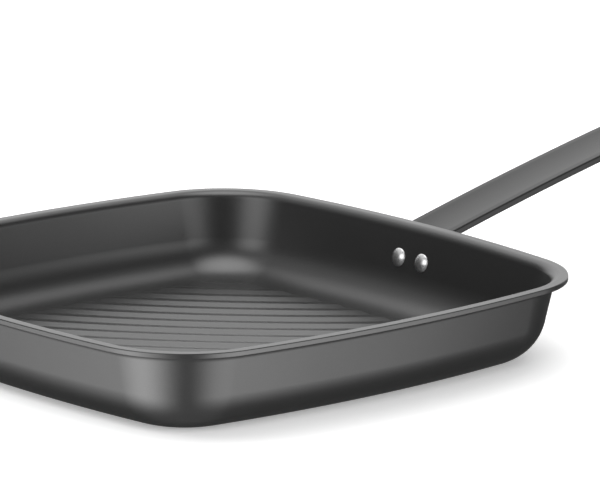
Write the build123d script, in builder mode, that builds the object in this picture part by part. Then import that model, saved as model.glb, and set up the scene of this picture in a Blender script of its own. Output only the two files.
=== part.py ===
from build123d import *
import os
from math import atan2, cos, degrees, floor, radians, sin, sqrt, tan

os.makedirs("parts", exist_ok=True)

# A square grill pan with a riveted bar handle. The origin is on the table under the middle
# of the pan, +X points along the handle and +Z up. Lengths are millimetres, angles degrees.

# Pan body: one drawn sheet, a square whose sides bow outwards
pan_side = 280.0
pan_depth = 41.5
sheet = 1.8
side_bow_radius = 690.0
corner_radius = 51.0
wall_taper = 12.0
base_radius = 24.0
rim_overhang = 6.0
rim_bend_radius = 3.3
rim_edge_bevel = 0.4

# Ribs raised on the floor, along the diagonal between the side corners
rib_pitch = 13.4
rib_gap = 2.6
rib_height = 1.35
rib_flank_angle = 24.0
rib_end_radius = 3.6
rib_field_margin = 3.6
rib_least_depth = 8.0
rib_curve_radius = 567.0

# Handle: a flat bar that bends down into a plate on the wall
handle_width = 30.0
handle_thickness = 3.5
handle_reach = 195.0
handle_rise = 15.0
handle_bend_radius = 2.5
handle_bow_radius = 2650.0
handle_rim_gap = 0.4
handle_edge_bevel = 0.7
handle_end_flat = 2.0
handle_seat = 0.2
plate_drop = 6.5
plate_corner_radius = 4.0
dish_margin = 3.5
dish_depth = 0.5
hole_radius = 5.0
hole_inset = 14.0

# Rivets through the wall and the handle's plate
rivet_height = 24.8
rivet_edge_distance = 6.85
rivet_shank_radius = 2.5
rivet_clearance = 0.03
rivet_head_radius = 4.5
rivet_head_height = 1.7
rivet_head_edge = 0.7
rivet_crown_radius = 2.4
rivet_set_radius = 4.2
rivet_set_height = 1.3
rivet_set_edge = 0.6

# Plan of the rim's outer edge: four side arcs and four corner arcs that meet in tangents
half_side = pan_side / 2
bow_centre = half_side - side_bow_radius
bow_gap = side_bow_radius - corner_radius
corner_centre = (bow_centre + sqrt(2 * bow_gap**2 - bow_centre**2)) / 2
bow_angle = degrees(atan2(corner_centre, corner_centre - bow_centre))
corner_angle = 90 - 2 * bow_angle

# Section of the sheet, as distances outwards from the rim's outer edge
rim_underside = pan_depth - sheet
wall_run = tan(radians(wall_taper))
wall_across = sheet / cos(radians(wall_taper))
outer_base_corner = -rim_overhang - rim_underside * wall_run
inner_base_corner = outer_base_corner - wall_across + sheet * wall_run
inner_rim_corner = -rim_overhang - wall_across + sheet * wall_run
floor_edge = outer_base_corner - base_radius * tan(radians((90 - wall_taper) / 2))
floor_seam = floor_edge - rib_field_margin / 2
rib_field_inset = rib_field_margin - floor_edge

# Ribs
rib_taper = 90 - rib_flank_angle
rib_bend_centre = (rib_curve_radius * sin(radians(45)), rib_curve_radius * sin(radians(45)))
corner_reach = corner_centre * sqrt(2) + corner_radius - rib_field_inset
ribs_each_way = floor((corner_reach - rib_gap / 2 - rib_least_depth) / rib_pitch) + 1

# Handle across its width, and what follows from that width
handle_end_radius = handle_width / 2 - handle_end_flat
dish_width = handle_width - 2 * dish_margin
rivet_spacing = handle_width - 2 * rivet_edge_distance

# Handle in its own upright plane, X outwards and Z up
wall_up = Vector(sin(radians(wall_taper)), cos(radians(wall_taper)))
wall_out = Vector(cos(radians(wall_taper)), -sin(radians(wall_taper)))
grip_down = Vector(sin(radians(handle_rise)), -cos(radians(handle_rise)))
rivet_wall_x = half_side - rim_overhang - (rim_underside - rivet_height) * wall_run
rivet_point = Vector(rivet_wall_x, rivet_height)
seat_point = rivet_point - wall_out * handle_seat
grip_start = Vector(half_side, rim_underside - handle_rim_gap)
plate_rise = (grip_start - seat_point).dot(grip_down) / wall_up.dot(grip_down)
plate_corner = seat_point + wall_up * plate_rise
plate_foot = seat_point - wall_up * plate_drop
handle_turn = radians(90 - wall_taper - handle_rise)
corner_step = (wall_out + grip_down) / (1 + cos(handle_turn))
grip_centre = grip_start + grip_down * handle_bow_radius
grip_arc = degrees(handle_reach / handle_bow_radius)


def arc_starts():
    """Centre, radius at the rim, first angle and sweep of the eight arcs of the plan."""
    for quarter in range(4):
        turn = 90 * quarter
        side = Vector(bow_centre, 0).rotate(Axis.Z, turn)
        yield side, side_bow_radius, turn - bow_angle, 2 * bow_angle
        corner = Vector(corner_centre, corner_centre).rotate(Axis.Z, turn)
        yield corner, corner_radius, turn + bow_angle, corner_angle


def plan_outline(inset):
    """Closed outline of the pan, inset from the rim's outer edge."""
    for centre, reach, start, sweep_angle in arc_starts():
        CenterArc((centre.X, centre.Y), reach - inset, start, sweep_angle)


def wall_lines(reach):
    """Section of the sheet from the flat floor to the rim's edge, for an arc of this radius."""
    under = FilletPolyline(
        (reach + floor_seam, 0),
        (reach + outer_base_corner, 0),
        (reach - rim_overhang, rim_underside),
        radius=base_radius,
    )
    flange = Line(under @ 1, (reach, rim_underside))
    over = FilletPolyline(
        (reach + floor_seam, sheet),
        (reach + inner_base_corner, sheet),
        (reach + inner_rim_corner, pan_depth),
        (reach, pan_depth),
        radius=[base_radius - sheet, rim_bend_radius],
    )
    Line(under @ 0, over @ 0)
    Line(flange @ 1, over @ 1)


def sheet_arc(centre, reach, start, sweep_angle, mode=Mode.ADD):
    """One arc of the wall and rim, revolved about the arc's own upright axis."""
    heading = Vector(1, 0, 0).rotate(Axis.Z, start)
    upright = Plane(origin=centre, x_dir=heading, z_dir=heading.cross(Vector(0, 0, 1)))
    with BuildSketch(upright) as section:
        with BuildLine():
            wall_lines(reach)
        make_face()
        chamfer(section.vertices().sort_by(Axis.X)[-2:], rim_edge_bevel)
    revolve(section.sketch.faces(), Axis(centre, (0, 0, 1)), sweep_angle, mode=mode)


def rib_solid(number):
    """One rib with rounded ends and sloped flanks, standing on the floor."""
    foot = Plane.XY.offset(sheet)
    core_inset = rib_gap / 2 + rib_end_radius
    far_radius = rib_curve_radius - (number + 1) * rib_pitch + core_inset
    near_radius = rib_curve_radius - number * rib_pitch - core_inset
    with BuildPart() as rib:
        with BuildSketch(foot):
            with Locations(rib_bend_centre):
                Circle(near_radius)
                Circle(far_radius, mode=Mode.SUBTRACT)
            with BuildLine():
                plan_outline(rib_field_inset + rib_end_radius)
            make_face(mode=Mode.INTERSECT)
            offset(amount=rib_end_radius)
        extrude(amount=rib_height)
        draft(rib.faces().filter_by(Axis.Z, reverse=True), foot, rib_taper)
    return rib.part


def rivet_plane(side):
    """Plane on the outside of the wall at one rivet, its Z along the rivet, outwards."""
    origin = (rivet_point.X, side * rivet_spacing / 2, rivet_point.Y)
    return Plane(origin=origin, x_dir=(0, 1, 0), z_dir=(wall_out.X, 0, wall_out.Y))


def rivet_holes():
    """Cuts both rivet holes through whatever stands there."""
    reach = sheet + handle_thickness
    for side in (-1, 1):
        with Locations(rivet_plane(side)):
            Cylinder(rivet_shank_radius + rivet_clearance, 2 * reach, mode=Mode.SUBTRACT)


# Ribs
ribs = [rib_solid(number) for number in range(-ribs_each_way, ribs_each_way)]

# Pan body
with BuildPart() as pan_body:
    for arc in arc_starts():
        sheet_arc(*arc)
    with BuildSketch():
        with BuildLine():
            plan_outline(-floor_seam)
        make_face()
    extrude(amount=sheet)
    add(ribs)
    rivet_holes()
pan_body.part.label = "pan_body"
export_step(pan_body.part, "parts/pan_body.step")


def bar_face_line(depth):
    """One face of the bar in its upright plane, depth below the upper face."""
    bend = handle_bend_radius + handle_thickness - depth
    foot = plate_foot + wall_out * depth
    corner = plate_corner + corner_step * depth
    start = grip_start + grip_down * depth
    plate = FilletPolyline(foot, corner, start, radius=bend)
    grip = CenterArc(
        (grip_centre.X, grip_centre.Y), handle_bow_radius - depth, 90 + handle_rise, -grip_arc
    )
    return plate @ 0, grip @ 1


def grip_plane(inset):
    """Plane on the upper face of the grip, inset from its end, its Z out of that face."""
    turn = radians(handle_rise - degrees((handle_reach - inset) / handle_bow_radius))
    up = Vector(-sin(turn), cos(turn))
    place = grip_centre + up * handle_bow_radius
    return Plane(origin=(place.X, 0, place.Y), x_dir=(up.Y, 0, -up.X), z_dir=(up.X, 0, up.Y))


def dish_cutter():
    """Hollows the grip's upper face along its middle, up to a round end short of the hole."""
    dish_radius = (dish_width**2 / 4 + dish_depth**2) / (2 * dish_depth)
    lift = dish_radius - dish_depth
    bow_axis = Axis((grip_centre.X, 0, grip_centre.Y), (0, 1, 0))
    first = grip_plane(handle_reach + handle_width / 2)
    last = grip_plane(hole_inset + handle_end_radius)
    dish_reach = handle_reach + handle_width / 2 - hole_inset - handle_end_radius
    cut_arc = degrees(dish_reach / handle_bow_radius)
    with BuildSketch(Plane(first.origin, x_dir=first.z_dir, z_dir=first.x_dir)) as hollow:
        with Locations((lift, 0)):
            Circle(dish_radius)
        Rectangle(2 * handle_thickness, 2 * handle_width, mode=Mode.INTERSECT)
    revolve(hollow.sketch.faces(), bow_axis, cut_arc, mode=Mode.SUBTRACT)
    with BuildSketch(Plane(last.origin, x_dir=last.x_dir, z_dir=(0, -1, 0))) as round_end:
        with Locations((0, lift)):
            Circle(dish_radius)
        Rectangle(
            handle_width,
            2 * handle_thickness,
            align=(Align.MIN, Align.CENTER),
            mode=Mode.INTERSECT,
        )
    revolve(round_end.sketch.faces(), Axis(last.origin, last.z_dir), mode=Mode.SUBTRACT)


# Handle
with BuildPart() as handle:
    with BuildSketch(Plane.XZ):
        with BuildLine():
            upper_foot, upper_end = bar_face_line(0)
            lower_foot, lower_end = bar_face_line(handle_thickness)
            Line(upper_foot, lower_foot)
            Line(upper_end, lower_end)
        make_face()
    extrude(amount=handle_width / 2, both=True)
    foot_edges = handle.edges().filter_by(Axis((0, 0, 0), (wall_out.X, 0, wall_out.Y)))
    fillet(foot_edges, plate_corner_radius)
    end_edges = handle.edges().filter_by(Axis((0, 0, 0), grip_plane(0).z_dir))
    fillet(end_edges, handle_end_radius)
    long_edges = handle.faces().filter_by(Axis.Y).edges().filter_by(GeomType.CIRCLE)
    chamfer(long_edges.sort_by(SortBy.RADIUS)[-4:], handle_edge_bevel)
    dish_cutter()
    with Locations(grip_plane(hole_inset)):
        Cylinder(hole_radius, 4 * handle_thickness, mode=Mode.SUBTRACT)
    sheet_arc(*next(arc_starts()), mode=Mode.SUBTRACT)
    rivet_holes()
handle.part.label = "handle"
export_step(handle.part, "parts/handle.step")


def rivet_profile():
    """Half section of a rivet: raised head inside, shank, set head outside."""
    inside = -sheet
    outside = handle_thickness - handle_seat
    top = outside + rivet_set_height
    Polyline(
        (0, inside - rivet_head_height),
        (rivet_crown_radius, inside - rivet_head_height),
        (rivet_head_radius, inside - rivet_head_edge),
        (rivet_head_radius, inside),
        (rivet_shank_radius, inside),
        (rivet_shank_radius, outside),
        (rivet_set_radius, outside),
        (rivet_set_radius, top - rivet_set_edge),
        (rivet_set_radius - rivet_set_edge, top),
        (0, top),
        close=True,
    )


# Rivets
with BuildPart() as rivets:
    for side in (-1, 1):
        place = rivet_plane(side)
        across = place.x_dir.cross(place.z_dir)
        with BuildSketch(Plane(place.origin, x_dir=place.x_dir, z_dir=across)):
            with BuildLine():
                rivet_profile()
            make_face()
        revolve(axis=Axis(place.origin, place.z_dir))
    sheet_arc(*next(arc_starts()), mode=Mode.SUBTRACT)
    for side in (-1, 1):
        with Locations(rivet_plane(side)):
            Cylinder(
                rivet_shank_radius,
                sheet + rivet_head_height / 2,
                align=(Align.CENTER, Align.CENTER, Align.MAX),
            )
rivets.part.label = "rivets"
export_step(rivets.part, "parts/rivets.step")
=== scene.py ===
from math import acos, asin, atan2, cos, floor, hypot, pi, radians, sin, sqrt, tan

import bmesh
import bpy
from mathutils import Matrix, Vector


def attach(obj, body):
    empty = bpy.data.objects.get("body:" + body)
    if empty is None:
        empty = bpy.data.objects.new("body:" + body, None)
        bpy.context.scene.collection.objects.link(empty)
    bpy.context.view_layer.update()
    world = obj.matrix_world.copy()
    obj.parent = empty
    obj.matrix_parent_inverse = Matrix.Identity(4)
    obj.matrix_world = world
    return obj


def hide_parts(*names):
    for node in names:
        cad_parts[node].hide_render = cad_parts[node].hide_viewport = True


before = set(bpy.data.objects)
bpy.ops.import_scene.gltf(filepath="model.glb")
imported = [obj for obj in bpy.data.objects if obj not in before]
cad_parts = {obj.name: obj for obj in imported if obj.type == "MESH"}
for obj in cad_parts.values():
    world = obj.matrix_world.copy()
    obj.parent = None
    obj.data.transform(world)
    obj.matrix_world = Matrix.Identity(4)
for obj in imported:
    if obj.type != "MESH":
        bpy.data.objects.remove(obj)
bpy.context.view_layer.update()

# Sizes in millimetres
MM = 0.001
HALF_SIDE = 140.0
DEPTH = 41.5
SHEET = 1.8
SIDE_BOW = 690.0
CORNER = 51.0
WALL_TAPER = radians(12)
BASE_RADIUS = 24.0
OVERHANG = 6.0
RIM_BEND_OVER = 4.6
RIM_BEND_UNDER = 5.0
RIM_EDGE = 0.25
RIM_CHAMFER = (0.2, 0.35)
CREASE = 0.04
HEM = 0.6
HEM_ACROSS = 2.8
HEM_EDGE = 0.4
HEM_SEAM = 0.1
HEM_RELIEF = (1, 6)
RIB_PITCH = 13.4
RIB_GAP = 0.4
RIB_HEIGHT = 0.93
RIB_FLANK = radians(9.5)
RIB_CREST = 1.0
RIB_FOOT = 0.8
RIB_RAMP = 1.8
RIB_MARGIN = 0.6
RIB_CURVE = 567.0
RIB_SEAM = 0.05
BAR_WIDTH = 30.0
BAR_THICK = 3.5
BAR_REACH = 195.0
BAR_RISE = radians(15)
BAR_BEND = 2.5
BAR_BOW = 2650.0
BAR_RIM_GAP = 0.4
BAR_EDGE = 0.8
BAR_END = 13.0
BAR_SEAT = 0.2
PLATE_DROP = 6.5
PLATE_CORNER = 4.0
DISH_WIDTH = 23.0
DISH_DEPTH = 0.5
DISH_FADE_IN = 8.0
DISH_FADE_OUT = 16.0
HOLE_RADIUS = 5.0
HOLE_INSET = 14.0
HOLE_EDGE = 0.5
HOLE_ROOM = (9.0, 8.0)
RIVET_HEIGHT = 24.8
RIVET_SPACING = 16.3
HEAD_RADIUS = 4.5
HEAD_HEIGHT = 1.7
HEAD_LIP = 0.25
HEAD_LIP_SHARE = 0.6
HEAD_SINK = 0.3
SET_RADIUS = 4.2
SET_HEIGHT = 1.3
SET_EDGE = 0.9
RIVET_AXIS_END = 0.01

# Divisions of the arcs and rows in the meshes
COVE_STEPS = 16
OVER_STEPS = 10
EDGE_STEPS = 5
UNDER_STEPS = 6
SIDE_STEPS = 28
CORNER_STEPS = 24
RIB_END_PLACES = (0, 0.6, 1.2, 1.8, 2.4, 3.2, 4.4, 6, 8.5, 12)
RIB_END_SHARE = 0.42
RIB_STEPS = 30
GRIP_STEPS = 44
BAR_TURN_STEPS = 12
BAR_EDGE_STEPS = 5
PLATE_CORNER_STEPS = 6
PLATE_STEPS = 3
BAR_SHARES = (0.15, 0.3, 0.45, 0.6, 0.75, 0.81, 0.87, 0.94, 1)
HOLE_COLUMN = 5
HOLE_EDGE_STEPS = 4
HOLE_SIDE_STEPS = 4
HOLE_RING_SHARES = (0.35, 0.7, 1)
RIVET_COUNT = 48
HEAD_STEPS = 9
SET_STEPS = 6

# Plan of the rim's outer edge: side arcs and corner arcs that meet in tangents
BOW_CENTRE = HALF_SIDE - SIDE_BOW
CORNER_CENTRE = (BOW_CENTRE + sqrt(2 * (SIDE_BOW - CORNER) ** 2 - BOW_CENTRE**2)) / 2
BOW_ANGLE = atan2(CORNER_CENTRE, CORNER_CENTRE - BOW_CENTRE)

# Section of the sheet, as distances outwards from the rim's outer edge. A rounding of the wall's corners
# runs for CORNER_RUN times its radius to each side of the corner.
CORNER_RUN = tan((pi / 2 - WALL_TAPER) / 2)
RIM_UNDERSIDE = DEPTH - SHEET
WALL_ACROSS = SHEET / cos(WALL_TAPER)
BASE_CORNER = -OVERHANG - RIM_UNDERSIDE * tan(WALL_TAPER)
FLOOR_EDGE = BASE_CORNER - BASE_RADIUS * CORNER_RUN
RIB_INSET = RIB_MARGIN - FLOOR_EDGE
RIM_CORNER_OVER = -OVERHANG - WALL_ACROSS + SHEET * tan(WALL_TAPER)


def new_object(name, verts, faces, normals, body="root"):
    """A smooth mesh with its own normals, given in millimetres, that rides on a body."""
    mesh = bpy.data.meshes.new(name)
    mesh.from_pydata([Vector(v) * MM for v in verts], [], faces)
    mesh.polygons.foreach_set("use_smooth", [True] * len(mesh.polygons))
    mesh.validate()
    mesh.normals_split_custom_set_from_vertices([Vector(n).normalized() for n in normals])
    mesh.update()
    piece = bpy.data.objects.new(name, mesh)
    bpy.context.scene.collection.objects.link(piece)
    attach(piece, body)
    return piece


class Surface:
    """Collects points, normals and faces of one piece."""

    def __init__(self):
        self.points = []
        self.normals = []
        self.faces = []

    def add(self, point, normal):
        self.points.append(point)
        self.normals.append(normal)
        return len(self.points) - 1

    def strip(self, first, second, closed=True):
        """Quads between two rows of as many points."""
        count = len(first)
        for i in range(count if closed else count - 1):
            j = (i + 1) % count
            self.faces.append((first[i], first[j], second[j], second[i]))


def plan_arcs():
    """Centre, radius, first angle and sweep of the rim's eight arcs."""
    arcs = []
    for quarter in range(4):
        turn = quarter * pi / 2
        side = (BOW_CENTRE * cos(turn), BOW_CENTRE * sin(turn))
        arcs.append((side, SIDE_BOW, turn - BOW_ANGLE, 2 * BOW_ANGLE))
        corner = hypot(CORNER_CENTRE, CORNER_CENTRE)
        diagonal = turn + pi / 4
        centre = (corner * cos(diagonal), corner * sin(diagonal))
        arcs.append((centre, CORNER, turn + BOW_ANGLE, pi / 2 - 2 * BOW_ANGLE))
    return arcs


PLAN = plan_arcs()


def plan_point(place, inset):
    """Point and outward direction on the outline inset from the rim, at a place 0 to 8 along it."""
    number = min(int(place), len(PLAN) - 1)
    (x, y), radius, start, sweep = PLAN[number]
    angle = start + sweep * (place - number)
    out = (cos(angle), sin(angle))
    return (x + (radius - inset) * out[0], y + (radius - inset) * out[1]), out


def turns(first, last, steps):
    """Angles from one to another in even steps."""
    return [first + (last - first) * i / steps for i in range(steps + 1)]


def rim_section():
    """Section from the floor over the rim to the underside: reach, height, normal, share of the hem."""
    rows = []
    radius = BASE_RADIUS - SHEET
    for a in turns(-pi / 2, -WALL_TAPER, COVE_STEPS):
        rows.append((FLOOR_EDGE + radius * cos(a), BASE_RADIUS + radius * sin(a), -cos(a), -sin(a)))
    radius = RIM_BEND_OVER
    reach, height = RIM_CORNER_OVER + radius * CORNER_RUN, DEPTH - radius
    for a in turns(pi - WALL_TAPER, pi / 2, OVER_STEPS):
        rows.append((reach + radius * cos(a), height + radius * sin(a), cos(a), sin(a)))
    lean = atan2(RIM_CHAMFER[0], RIM_CHAMFER[1])
    inner, outer = -RIM_CHAMFER[0], DEPTH - RIM_CHAMFER[1]
    rows.append((inner - CREASE, DEPTH, 0, 1))
    rows.append((inner, DEPTH - CREASE / 2, cos(lean), sin(lean)))
    rows.append((-CREASE / 2, outer, cos(lean), sin(lean)))
    rows.append((0, outer - CREASE, 1, 0))
    radius = RIM_EDGE
    for a in turns(0, -pi / 2, EDGE_STEPS):
        rows.append((radius * (cos(a) - 1), RIM_UNDERSIDE + radius * (1 + sin(a)), cos(a), sin(a), 1))
    rows.append((HEM_EDGE - HEM_ACROSS, RIM_UNDERSIDE, 0, -1, 1))
    rows.append((HEM_SEAM - HEM_ACROSS, RIM_UNDERSIDE, -0.7, -0.7, 0.7))
    rows.append((-HEM_ACROSS, RIM_UNDERSIDE, -0.3, -1, 0))
    radius = RIM_BEND_UNDER
    reach, height = -OVERHANG + radius * CORNER_RUN, RIM_UNDERSIDE - radius
    start = acos((reach + HEM_ACROSS + HEM_SEAM) / radius)
    for a in turns(-start, -WALL_TAPER, UNDER_STEPS):
        rows.append((reach - radius * cos(a), height - radius * sin(a), cos(a), sin(a)))
    radius = BASE_RADIUS
    for a in turns(-WALL_TAPER, -pi / 2, COVE_STEPS):
        rows.append((FLOOR_EDGE + radius * cos(a), radius + radius * sin(a), cos(a), sin(a)))
    return rows


# Ribs: shallow waves on arcs about one far centre, fading out towards the outline of their field
RIB_CENTRE = (RIB_CURVE * sin(pi / 4), RIB_CURVE * sin(pi / 4))
RIB_WIDTH = RIB_PITCH - RIB_GAP
RIB_RUN = RIB_HEIGHT / tan(RIB_FLANK) + (RIB_FOOT + RIB_CREST) / 2
CORNER_REACH = CORNER_CENTRE * sqrt(2) + CORNER - RIB_INSET
RIBS_EACH_WAY = floor(CORNER_REACH / RIB_PITCH)


def crossings(radius, inset):
    """The two points where a circle about the ribs' centre crosses the inset outline."""
    found = []
    for (x, y), reach, start, sweep in PLAN:
        reach = reach - inset
        away = (RIB_CENTRE[0] - x, RIB_CENTRE[1] - y)
        gap = hypot(*away)
        share = (gap**2 + reach**2 - radius**2) / (2 * gap * reach)
        if abs(share) > 1:
            continue
        for side in (-1, 1):
            angle = atan2(away[1], away[0]) + side * acos(share)
            if ((angle - start) % (2 * pi)) / sweep <= 1:
                point = (x + reach * cos(angle), y + reach * sin(angle))
                found.append(atan2(point[1] - RIB_CENTRE[1], point[0] - RIB_CENTRE[0]) % (2 * pi))
    return min(found), max(found)


def rim_distance(x, y):
    """How far inside the rim's outer edge a point lies."""
    x, y = max(abs(x), abs(y)), min(abs(x), abs(y))
    if atan2(y, x - BOW_CENTRE) <= BOW_ANGLE:
        return SIDE_BOW - hypot(x - BOW_CENTRE, y)
    return CORNER - hypot(x - CORNER_CENTRE, y - CORNER_CENTRE)


def rib_rise(x, y):
    """Height of the ribs over the floor at a point."""
    across = (RIB_CURVE - hypot(x - RIB_CENTRE[0], y - RIB_CENTRE[1])) % RIB_PITCH - RIB_GAP / 2
    run = min(across, RIB_WIDTH - across)
    if run <= 0:
        return 0
    slope = tan(RIB_FLANK)
    if run < RIB_FOOT:
        rise = slope * run**2 / (2 * RIB_FOOT)
    elif run < RIB_RUN - RIB_CREST:
        rise = slope * (run - RIB_FOOT / 2)
    else:
        rise = RIB_HEIGHT - slope * max(RIB_RUN - run, 0) ** 2 / (2 * RIB_CREST)
    return rise * smooth_step((rim_distance(x, y) - RIB_INSET) / RIB_RAMP)


def rib_rows():
    """Distances from the ribs' middle line at which the field is divided."""
    half = [0, 0.5 * RIB_FOOT, RIB_FOOT, RIB_RUN / 2, RIB_RUN - RIB_CREST, RIB_RUN - RIB_CREST / 2]
    half.append(min(RIB_RUN, RIB_WIDTH / 2 - RIB_SEAM))
    section = half + [RIB_WIDTH - w for w in reversed(half)]
    rows = []
    for number in range(-RIBS_EACH_WAY, RIBS_EACH_WAY):
        rows += [number * RIB_PITCH + RIB_GAP / 2 + w for w in section]
    return rows


def make_ribs(pan):
    """The ribbed field as one grid; gives the loop of its border."""
    small = 0.01
    grid = []
    for line in rib_rows():
        radius = RIB_CURVE - line
        first, last = crossings(radius, RIB_INSET)
        length = (last - first) * radius
        scale = min(1, RIB_END_SHARE * length / RIB_END_PLACES[-1])
        places = [scale * place for place in RIB_END_PLACES]
        inner = length - 2 * places[-1]
        places += [places[-1] + inner * i / RIB_STEPS for i in range(1, RIB_STEPS)]
        places += [length - scale * place for place in reversed(RIB_END_PLACES)]
        row = []
        for place in places:
            angle = first + place / radius
            x, y = RIB_CENTRE[0] + radius * cos(angle), RIB_CENTRE[1] + radius * sin(angle)
            along = (rib_rise(x + small, y) - rib_rise(x - small, y)) / (2 * small)
            across = (rib_rise(x, y + small) - rib_rise(x, y - small)) / (2 * small)
            row.append(pan.add((x, y, SHEET + rib_rise(x, y)), (-along, -across, 1)))
        grid.append(row)
    for row, following in zip(grid, grid[1:]):
        pan.strip(row, following, closed=False)
    sides = [row[-1] for row in grid[1:-1]], [row[0] for row in reversed(grid[1:-1])]
    return grid[0] + sides[0] + grid[-1][::-1] + sides[1]


def make_pan():
    """The whole sheet: ribbed floor, cove, walls, rim and underside."""
    pan = Surface()
    places = []
    for number, count in enumerate((SIDE_STEPS, CORNER_STEPS) * 4):
        places += [number + i / count for i in range(count)]
    section = rim_section()
    rows = []
    for reach, height, across, up, *hem in section:
        row = []
        for place in places:
            (x, y), out = plan_point(place, -reach)
            drop = HEM * hem[0] * hem_share(x, y) if hem else 0
            row.append(pan.add((x, y, height - drop), (out[0] * across, out[1] * across, up)))
        rows.append(row)
    for first, second in zip(rows, rows[1:]):
        pan.strip(second, first)
    pan.faces.append(tuple(reversed(rows[-1])))
    pan.faces += floor_faces(pan, [rows[0], make_ribs(pan)])
    return pan


def hem_share(x, y):
    """1 along the rim, down to 0 where the handle passes under it."""
    return smooth_step((abs(y) - BAR_WIDTH / 2 - HEM_RELIEF[0]) / HEM_RELIEF[1]) if x > 0 else 1


def floor_faces(pan, loops):
    """Triangles of the flat floor between the cove and the feet of the ribs."""
    work = bmesh.new()
    index = {}
    edges = []
    for loop in loops:
        made = [work.verts.new(pan.points[i]) for i in loop]
        for i, vert in zip(loop, made):
            index[vert] = i
        edges += [work.edges.new((a, b)) for a, b in zip(made, made[1:] + made[:1])]
    bmesh.ops.triangle_fill(work, use_beauty=True, edges=edges, normal=(0, 0, 1))
    faces = []
    for face in work.faces:
        corners = [index[v] for v in face.verts]
        faces.append(tuple(corners if face.normal.z > 0 else reversed(corners)))
    work.free()
    return faces


# Handle: its path in the upright plane, X outwards and Z up
WALL_UP = Vector((sin(WALL_TAPER), cos(WALL_TAPER)))
WALL_OUT = Vector((cos(WALL_TAPER), -sin(WALL_TAPER)))
GRIP_ALONG = Vector((cos(BAR_RISE), sin(BAR_RISE)))
GRIP_DOWN = Vector((sin(BAR_RISE), -cos(BAR_RISE)))
RIVET_REACH = HALF_SIDE - OVERHANG - (RIM_UNDERSIDE - RIVET_HEIGHT) * tan(WALL_TAPER)
RIVET_POINT = Vector((RIVET_REACH, RIVET_HEIGHT))
SEAT_POINT = RIVET_POINT - WALL_OUT * BAR_SEAT
GRIP_START = Vector((HALF_SIDE, RIM_UNDERSIDE - BAR_RIM_GAP))
PLATE_RISE = (GRIP_START - SEAT_POINT).dot(GRIP_DOWN) / WALL_UP.dot(GRIP_DOWN)
PLATE_CORNER_POINT = SEAT_POINT + WALL_UP * PLATE_RISE
PLATE_FOOT = SEAT_POINT - WALL_UP * PLATE_DROP
BAR_TURN = pi / 2 - WALL_TAPER - BAR_RISE
BEND_RADIUS = BAR_BEND + BAR_THICK
BEND_TANGENT = BEND_RADIUS * tan(BAR_TURN / 2)
PLATE_LENGTH = (PLATE_CORNER_POINT - PLATE_FOOT).length - BEND_TANGENT
BEND_LENGTH = BEND_RADIUS * BAR_TURN
NECK_LENGTH = (GRIP_START - PLATE_CORNER_POINT).length - BEND_TANGENT
BAR_LENGTH = PLATE_LENGTH + BEND_LENGTH + NECK_LENGTH + BAR_REACH
GRIP_FROM = PLATE_LENGTH + BEND_LENGTH + NECK_LENGTH


def bar_path(run):
    """Point on the bar's upper face, direction along it and out of it, a run from the plate's foot."""
    if run < PLATE_LENGTH:
        along = WALL_UP
        point = PLATE_FOOT + along * run
    elif run < PLATE_LENGTH + BEND_LENGTH:
        turn = (run - PLATE_LENGTH) / BEND_RADIUS
        centre = PLATE_FOOT + WALL_UP * PLATE_LENGTH + WALL_OUT * BEND_RADIUS
        angle = pi - WALL_TAPER - turn
        point = centre + Vector((cos(angle), sin(angle))) * BEND_RADIUS
        along = Vector((sin(angle), -cos(angle)))
    elif run < GRIP_FROM:
        along = GRIP_ALONG
        point = GRIP_START - along * (GRIP_FROM - run)
    else:
        angle = pi / 2 + BAR_RISE - (run - GRIP_FROM) / BAR_BOW
        centre = GRIP_START + GRIP_DOWN * BAR_BOW
        point = centre + Vector((cos(angle), sin(angle))) * BAR_BOW
        along = Vector((sin(angle), -cos(angle)))
    return point, along, Vector((-along.y, along.x))


def bar_point(run, side, depth, local):
    """Place and normal of a point of the bar from its run, its side and its depth under the face."""
    point, along, out = bar_path(run)
    place = point - out * depth
    normal = along * local[0] + out * local[2]
    return (place.x, side, place.y), (normal.x, local[1], normal.y)


def smooth_step(value):
    """0 up to 1 in a soft curve."""
    value = min(max(value, 0), 1)
    return value * value * (3 - 2 * value)


def dish(run, side):
    """Depth of the shallow hollow along the grip and its slopes along and across."""
    def depth(r, s):
        share = 1 - (2 * s / DISH_WIDTH) ** 2
        if share <= 0:
            return 0
        fade_in = smooth_step((r - PLATE_LENGTH - BEND_LENGTH) / DISH_FADE_IN)
        end = BAR_LENGTH - HOLE_INSET - BAR_END + DISH_FADE_OUT / 2
        fade_out = smooth_step((end - r) / DISH_FADE_OUT)
        return DISH_DEPTH * share * fade_in * fade_out
    small = 0.05
    here = depth(run, side)
    along = (depth(run + small, side) - depth(run - small, side)) / (2 * small)
    across = (depth(run, side + small) - depth(run, side - small)) / (2 * small)
    return here, along, across


def half_width(run, inset):
    """Half width of the bar's plan, drawn in by an inset, at a run."""
    for corner, end in ((PLATE_CORNER, run), (BAR_END, BAR_LENGTH - run)):
        if end < corner:
            reach = corner - inset
            rise = min(corner - end, reach)
            return BAR_WIDTH / 2 - corner + sqrt(max(reach**2 - rise**2, 0))
    return BAR_WIDTH / 2 - inset


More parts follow.
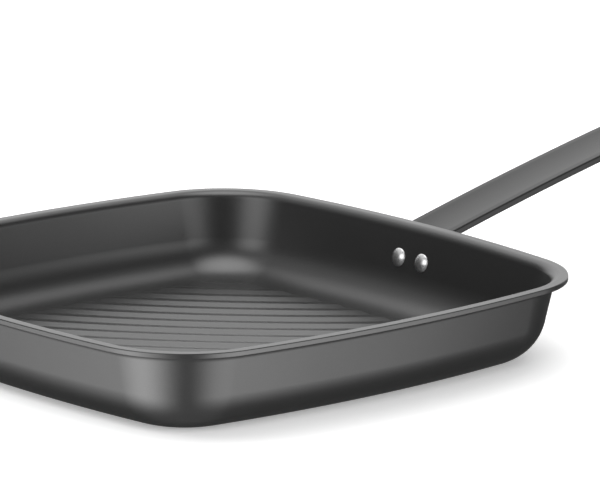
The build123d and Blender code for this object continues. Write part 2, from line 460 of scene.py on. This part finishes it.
def bar_stations():
    """Runs of the rows across the bar, close together where it bends or rounds off."""
    foot_reach = PLATE_CORNER - BAR_EDGE
    end_reach = BAR_END - BAR_EDGE
    steps = range(PLATE_CORNER_STEPS + 1)
    runs = [PLATE_CORNER - foot_reach * cos(pi / 2 * i / PLATE_CORNER_STEPS) for i in steps]
    steps = range(1, PLATE_STEPS + 1)
    runs += [PLATE_CORNER + (PLATE_LENGTH - PLATE_CORNER) * i / PLATE_STEPS for i in steps]
    steps = range(1, BAR_TURN_STEPS + 1)
    runs += [PLATE_LENGTH + BEND_LENGTH * i / BAR_TURN_STEPS for i in steps]
    straight = BAR_LENGTH - HOLE_INSET - HOLE_ROOM[0]
    first = PLATE_LENGTH + BEND_LENGTH
    runs += [first + (straight - first) * i / GRIP_STEPS for i in range(1, GRIP_STEPS + 1)]
    corner = BAR_LENGTH - BAR_END
    hole_steps = range(1, HOLE_SIDE_STEPS + 1)
    runs += [straight + (corner - straight) * i / HOLE_SIDE_STEPS for i in hole_steps]
    runs += [corner + end_reach * sin(pi / 2 * i / BAR_TURN_STEPS) for i in steps]
    return runs


def make_handle():
    """The bar: two faces with a hole and a rounded edge all round."""
    bar = Surface()
    runs = bar_stations()
    shares = [-share for share in reversed(BAR_SHARES)] + [0] + list(BAR_SHARES)
    hole_run = BAR_LENGTH - HOLE_INSET
    tolerance = 1e-6
    first_row = max(i for i, r in enumerate(runs) if r <= hole_run - HOLE_ROOM[0] + tolerance)
    last_row = min(i for i, r in enumerate(runs) if r >= hole_run + HOLE_ROOM[1])
    last_side = len(shares) - 1
    first_col, last_col = HOLE_COLUMN, last_side - HOLE_COLUMN
    loops = {}
    for face in (0, 1):
        grid = []
        for i, run in enumerate(runs):
            row = []
            for j, share in enumerate(shares):
                side = share * half_width(run, BAR_EDGE)
                inside = first_row < i < last_row and first_col < j < last_col
                if inside:
                    row.append(None)
                elif face == 0:
                    sink, slope_run, slope_side = dish(run, side)
                    row.append(bar.add(*bar_point(run, side, sink, (slope_run, slope_side, 1))))
                else:
                    row.append(bar.add(*bar_point(run, side, BAR_THICK, (0, 0, -1))))
            grid.append(row)
        for i in range(len(runs) - 1):
            for j in range(len(shares) - 1):
                if first_row <= i < last_row and first_col <= j < last_col:
                    continue
                quad = (grid[i][j], grid[i + 1][j], grid[i + 1][j + 1], grid[i][j + 1])
                bar.faces.append(quad if face == 0 else quad[::-1])
        last = len(runs) - 1
        border = [(i, 0) for i in range(last)] + [(last, j) for j in range(last_side)]
        border += [(i, last_side) for i in range(last, 0, -1)]
        border += [(0, j) for j in range(last_side, 0, -1)]
        ring = [(i, first_col) for i in range(first_row, last_row)]
        ring += [(last_row, j) for j in range(first_col, last_col)]
        ring += [(i, last_col) for i in range(last_row, first_row, -1)]
        ring += [(first_row, j) for j in range(last_col, first_col, -1)]
        loops[face] = (grid, border, ring)
    hole_rows(bar, runs, shares, loops, hole_run)
    edge_rows(bar, runs, shares, loops)
    return bar


def hole_rows(bar, runs, shares, loops, hole_run):
    """From the cells round the hanging hole to its rounded mouths and its wall."""
    ring = loops[0][2]
    spots = [(runs[i], shares[j] * half_width(runs[i], BAR_EDGE)) for i, j in ring]
    angles = [atan2(side, run - hole_run) for run, side in spots]
    wide = HOLE_RADIUS + HOLE_EDGE
    rows = []
    for face in (0, 1):
        grid = loops[face][0]
        previous = [grid[i][j] for i, j in ring]
        for share in HOLE_RING_SHARES:
            row = []
            for (run, side), angle in zip(spots, angles):
                r = run + (hole_run + wide * cos(angle) - run) * share
                s = side + (wide * sin(angle) - side) * share
                if face == 0:
                    sink, slope_run, slope_side = dish(r, s)
                    row.append(bar.add(*bar_point(r, s, sink, (slope_run, slope_side, 1))))
                else:
                    row.append(bar.add(*bar_point(r, s, BAR_THICK, (0, 0, -1))))
            bar.strip(*((row, previous) if face == 0 else (previous, row)))
            previous = row
        for i in range(1, HOLE_EDGE_STEPS + 1):
            tilt = pi / 2 * i / HOLE_EDGE_STEPS
            row = []
            for angle in angles:
                reach = wide - HOLE_EDGE * sin(tilt)
                sink = HOLE_EDGE * (1 - cos(tilt))
                depth = sink if face == 0 else BAR_THICK - sink
                up = cos(tilt) if face == 0 else -cos(tilt)
                local = (-cos(angle) * sin(tilt), -sin(angle) * sin(tilt), up)
                run, side = hole_run + reach * cos(angle), reach * sin(angle)
                row.append(bar.add(*bar_point(run, side, depth, local)))
            bar.strip(*((row, previous) if face == 0 else (previous, row)))
            previous = row
        rows.append(previous)
    bar.strip(rows[1], rows[0])


def edge_rows(bar, runs, shares, loops):
    """The rounded edge all round the bar, from the upper face to the lower one."""
    border = loops[0][1]
    ends, sides = (0, len(runs) - 1), (0, len(shares) - 1)
    spots, outs = [], []
    for i, j in border:
        run = runs[i]
        side = shares[j] * half_width(run, BAR_EDGE)
        spots.append((run, side))
        if run < PLATE_CORNER and j in sides:
            centre = (PLATE_CORNER, (BAR_WIDTH / 2 - PLATE_CORNER) * (1 if j else -1))
        elif run > BAR_LENGTH - BAR_END and j in sides:
            centre = (BAR_LENGTH - BAR_END, (BAR_WIDTH / 2 - BAR_END) * (1 if j else -1))
        elif i in ends:
            centre = (run + (1 if i == 0 else -1), side)
        else:
            centre = (run, 0)
        away = Vector((run - centre[0], side - centre[1])).normalized()
        outs.append(away)
    previous = [loops[0][0][i][j] for i, j in border]
    for face in (0, 1):
        steps = range(1, BAR_EDGE_STEPS + 1)
        for i in steps if face == 0 else reversed(steps):
            tilt = pi / 2 * i / BAR_EDGE_STEPS
            row = []
            for (run, side), out in zip(spots, outs):
                reach = BAR_EDGE * sin(tilt)
                sink = BAR_EDGE * (1 - cos(tilt))
                depth = sink if face == 0 else BAR_THICK - sink
                up = cos(tilt) if face == 0 else -cos(tilt)
                local = (out.x * sin(tilt), out.y * sin(tilt), up)
                beyond = bar_point_beyond(run + out.x * reach, side + out.y * reach, depth, local)
                row.append(bar.add(*beyond))
            bar.strip(row, previous)
            previous = row
    bar.strip([loops[1][0][i][j] for i, j in border], previous)


def bar_point_beyond(run, side, depth, local):
    """As bar_point, but a run just past either end stays in line with that end."""
    inside = min(max(run, 0), BAR_LENGTH)
    place, normal = bar_point(inside, side, depth, local)
    _, along, _ = bar_path(inside)
    extra = run - inside
    return (place[0] + along.x * extra, place[1], place[2] + along.y * extra), normal


def rivet_profile():
    """Half section of a rivet along its axis from the inside of the wall: radius, place, normal."""
    rows = []
    inside = -SHEET
    dome = (HEAD_RADIUS**2 + HEAD_HEIGHT**2) / (2 * HEAD_HEIGHT)
    spread = asin(HEAD_RADIUS / dome)
    squash = (HEAD_HEIGHT - HEAD_LIP) / HEAD_HEIGHT
    for a in turns(0, spread, HEAD_STEPS):
        place = inside - HEAD_HEIGHT + dome * (1 - cos(a)) * squash
        rows.append((dome * sin(a), place, sin(a), -cos(a)))
    rows.append((HEAD_RADIUS, inside - HEAD_LIP * HEAD_LIP_SHARE, 1, -0.2))
    rows.append((HEAD_RADIUS, inside + HEAD_SINK, 1, 0))
    outside = BAR_THICK - BAR_SEAT
    rows.append((SET_RADIUS, outside - HEAD_SINK, 1, 0))
    rows.append((SET_RADIUS, outside + HEAD_SINK, 1, 0))
    base = outside + SET_HEIGHT - SET_EDGE
    for a in turns(0, pi / 2, SET_STEPS)[1:]:
        rows.append((SET_RADIUS - SET_EDGE + SET_EDGE * cos(a), base + SET_EDGE * sin(a), cos(a), sin(a)))
    rows.append((RIVET_AXIS_END, outside + SET_HEIGHT, 0, 1))
    return rows


def make_rivets():
    """Both rivets, as turned pieces through the wall and the plate."""
    both = Surface()
    for side in (-1, 1):
        origin = Vector((RIVET_POINT.x, side * RIVET_SPACING / 2, RIVET_POINT.y))
        axis = Vector((WALL_OUT.x, 0, WALL_OUT.y))
        other = Vector((WALL_UP.x, 0, WALL_UP.y))
        rows = []
        for radius, place, across, up in rivet_profile():
            row = []
            for i in range(RIVET_COUNT):
                angle = 2 * pi * i / RIVET_COUNT
                out = Vector((0, 1, 0)) * cos(angle) + other * sin(angle)
                point = origin + axis * place + out * max(radius, RIVET_AXIS_END)
                row.append(both.add(tuple(point), tuple(out * across + axis * up)))
            rows.append(row)
        for first, second in zip(rows, rows[1:]):
            both.strip(first, second)
        both.faces.append(tuple(reversed(rows[0])))
        both.faces.append(tuple(rows[-1]))
    return both


pan_parts = make_pan()
pan = new_object("pan_sheet", pan_parts.points, pan_parts.faces, pan_parts.normals)
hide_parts("pan_body")
bar_parts = make_handle()
bar = new_object("handle_bar", bar_parts.points, bar_parts.faces, bar_parts.normals)
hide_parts("handle")
rivet_parts = make_rivets()
rivets = new_object("rivet_heads", rivet_parts.points, rivet_parts.faces, rivet_parts.normals)
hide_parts("rivets")


def coating(name, colour, roughness, metallic, bump):
    """Satin coating: even dark colour, fine grain in the surface and a soft change of gloss."""
    material = bpy.data.materials.new(name)
    material.use_nodes = True
    nodes, links = material.node_tree.nodes, material.node_tree.links
    shader = nodes["Principled BSDF"]
    shader.inputs["Metallic"].default_value = metallic
    place = nodes.new("ShaderNodeTexCoord")
    grain = nodes.new("ShaderNodeTexNoise")
    grain.inputs["Scale"].default_value = 1900
    grain.inputs["Detail"].default_value = 3
    cloud = nodes.new("ShaderNodeTexNoise")
    cloud.inputs["Scale"].default_value = 14
    cloud.inputs["Detail"].default_value = 4
    both = nodes.new("ShaderNodeMath")
    both.operation = "ADD"
    shade = nodes.new("ShaderNodeMapRange")
    shade.inputs["From Max"].default_value = 2
    shade.inputs["To Min"].default_value = 0.8
    shade.inputs["To Max"].default_value = 1.2
    tint = nodes.new("ShaderNodeMix")
    tint.data_type = "RGBA"
    tint.blend_type = "MULTIPLY"
    tint.inputs["Factor"].default_value = 1
    tint.inputs["A"].default_value = (*colour, 1)
    gloss = nodes.new("ShaderNodeMapRange")
    gloss.inputs["To Min"].default_value = roughness - 0.03
    gloss.inputs["To Max"].default_value = roughness + 0.03
    rough = nodes.new("ShaderNodeBump")
    rough.inputs["Strength"].default_value = bump
    rough.inputs["Distance"].default_value = 0.00005
    for texture in (grain, cloud):
        links.new(place.outputs["Object"], texture.inputs["Vector"])
    links.new(cloud.outputs["Fac"], both.inputs[0])
    links.new(grain.outputs["Fac"], both.inputs[1])
    links.new(both.outputs["Value"], shade.inputs["Value"])
    links.new(shade.outputs["Result"], tint.inputs["B"])
    links.new(tint.outputs["Result"], shader.inputs["Base Color"])
    links.new(grain.outputs["Fac"], gloss.inputs["Value"])
    links.new(gloss.outputs["Result"], shader.inputs["Roughness"])
    links.new(grain.outputs["Fac"], rough.inputs["Height"])
    links.new(rough.outputs["Normal"], shader.inputs["Normal"])
    return material


pan.data.materials.append(coating("pan_coating", (0.11, 0.11, 0.11), 0.33, 0.9, 0.5))
bar.data.materials.append(coating("bar_coating", (0.04, 0.04, 0.04), 0.33, 0.9, 0.5))
rivets.data.materials.append(coating("rivet_metal", (0.95, 0.95, 0.95), 0.3, 1.0, 0.2))


def make_table():
    """Plain pale surface under the pan."""
    mesh = bpy.data.meshes.new("table")
    reach = 12.0
    corners = [(-reach, -reach, 0), (reach, -reach, 0), (reach, reach, 0), (-reach, reach, 0)]
    mesh.from_pydata(corners, [], [(0, 1, 2, 3)])
    table = bpy.data.objects.new("table", mesh)
    bpy.context.scene.collection.objects.link(table)
    material = bpy.data.materials.new("table_white")
    material.use_nodes = True
    shader = material.node_tree.nodes["Principled BSDF"]
    shader.inputs["Base Color"].default_value = (0.9, 0.9, 0.9, 1)
    shader.inputs["Roughness"].default_value = 0.9
    shader.inputs["Emission Color"].default_value = (1, 1, 1, 1)
    shader.inputs["Emission Strength"].default_value = 0.3
    mesh.materials.append(material)
    table.visible_glossy = False


make_table()

# Soft studio light: white panels and dark gaps all round, as directions of one world
world = bpy.data.worlds.new("studio")
bpy.context.scene.world = world
world.use_nodes = True
sky = world.node_tree


def sky_math(kind, *values):
    """One sum in the sky's nodes."""
    node = sky.nodes.new("ShaderNodeMath")
    node.operation = kind
    for socket, value in zip(node.inputs, values):
        if isinstance(value, (int, float)):
            socket.default_value = value
        else:
            sky.links.new(value, socket)
    return node.outputs["Value"]


def sky_step(value, dark, bright):
    """Soft step from 0 at one value to 1 at another."""
    node = sky.nodes.new("ShaderNodeMapRange")
    node.interpolation_type = "SMOOTHSTEP"
    sky.links.new(value, node.inputs["Value"])
    node.inputs["From Min"].default_value = dark
    node.inputs["From Max"].default_value = bright
    return node.outputs["Result"]


look = sky.nodes.new("ShaderNodeSeparateXYZ")
sky.links.new(sky.nodes.new("ShaderNodeTexCoord").outputs["Generated"], look.inputs["Vector"])
heading = sky_math("ARCTAN2", look.outputs["Y"], look.outputs["X"])
height = sky_math("ARCSINE", look.outputs["Z"])


def panel(azimuth, half_width, low, high, level, soft):
    """A soft-edged bright panel: its middle, half width and heights in degrees."""
    aside = sky_math("ABSOLUTE", sky_math("WRAP", sky_math("SUBTRACT", heading, radians(azimuth)), pi, -pi))
    edge = radians(soft)
    across = sky_step(aside, radians(half_width) + edge, radians(half_width) - edge)
    above = sky_step(height, radians(low) - edge, radians(low) + edge)
    below = sky_step(height, radians(high) + edge, radians(high) - edge)
    return sky_math("MULTIPLY", sky_math("MULTIPLY", across, level), sky_math("MULTIPLY", above, below))


# Azimuth, half width, lower and upper end, level and softness of each panel
PANELS = [
    # Overhead box, and its fall towards the back
    (0, 400, 64, 200, 2.4, 10),
    (49, 60, 44, 64, 0.7, 8),
    (49, 44, 26, 44, 0.3, 8),
    # Pale backdrop, seen in the floor of the pan and in the flat of the rim
    (49, 44, -8, 44, 1.12, 8),
    # Pale surfaces in front, seen in the outside of the walls
    (158, 34, -56, -14, 1.3, 22),
    (182, 28, -56, -14, 2.4, 24),
    (-76, 30, -52, -14, 1.8, 22),
    # Strips seen in the upright edge of the rim
    (146, 36, -26, -10, 1.9, 8),
    (-68, 36, -26, -10, 2, 12),
    # Boxes seen in the inside corner and walls
    (-170, 18, -10, 40, 1.6, 12),
    (-80, 20, -10, 30, 1.2, 12),
    (-47, 22, -10, 28, 0.4, 12),
    (131, 34, 30, 60, 0.4, 10),
    # Light from below and all round
    (0, 400, -100, -62, 0.22, 10),
    (0, 400, -100, 200, 0.09, 14),
]
light = panel(*PANELS[0])
for values in PANELS[1:]:
    light = sky_math("ADD", light, panel(*values))
light = sky_math("MAXIMUM", light, sky.nodes.new("ShaderNodeLightPath").outputs["Is Camera Ray"])
sky.nodes["Background"].inputs["Color"].default_value = (1, 1, 1, 1)
sky.links.new(light, sky.nodes["Background"].inputs["Strength"])


def area_light(name, place, aim, size, power):
    """A soft box that points at a place."""
    lamp = bpy.data.lights.new(name, "AREA")
    lamp.shape = "RECTANGLE"
    lamp.size, lamp.size_y = size
    lamp.energy = power
    box = bpy.data.objects.new(name, lamp)
    box.location = place
    box.rotation_mode = "QUATERNION"
    box.rotation_quaternion = (Vector(aim) - Vector(place)).to_track_quat("-Z", "Y")
    box.visible_glossy = False
    bpy.context.scene.collection.objects.link(box)


area_light("top_box", (-1.2, 1.0, 1.7), (0, 0, 0), (1.6, 1.6), 28)
area_light("front_box", (-1.4, -1.6, 1.6), (0, 0, 0), (2.0, 1.6), 27)

# Camera at the photograph's place
AZIMUTH = -0.7216
ELEVATION = 0.2286
DISTANCE = 2.5674
TARGET = Vector((0.116256, 0.066108, 0.020))
FOCAL_SHARE = 5213.9 / 600
ROLL = 0.0112
back = Vector((sin(AZIMUTH) * cos(ELEVATION), -cos(AZIMUTH) * cos(ELEVATION), sin(ELEVATION)))
right = (-back).cross(Vector((0, 0, 1))).normalized()
up = right.cross(-back)
right, up = right * cos(ROLL) + up * sin(ROLL), up * cos(ROLL) - right * sin(ROLL)
lens = bpy.data.cameras.new("camera")
lens.sensor_width = 36
lens.lens = FOCAL_SHARE * lens.sensor_width
lens.clip_start, lens.clip_end = 0.1, 60
camera = bpy.data.objects.new("camera", lens)
turn = Matrix((right, up, back)).transposed().to_4x4()
camera.matrix_world = Matrix.Translation(TARGET + back * DISTANCE) @ turn
bpy.context.scene.collection.objects.link(camera)
bpy.context.scene.camera = camera
bpy.context.scene.view_settings.view_transform = "Standard"
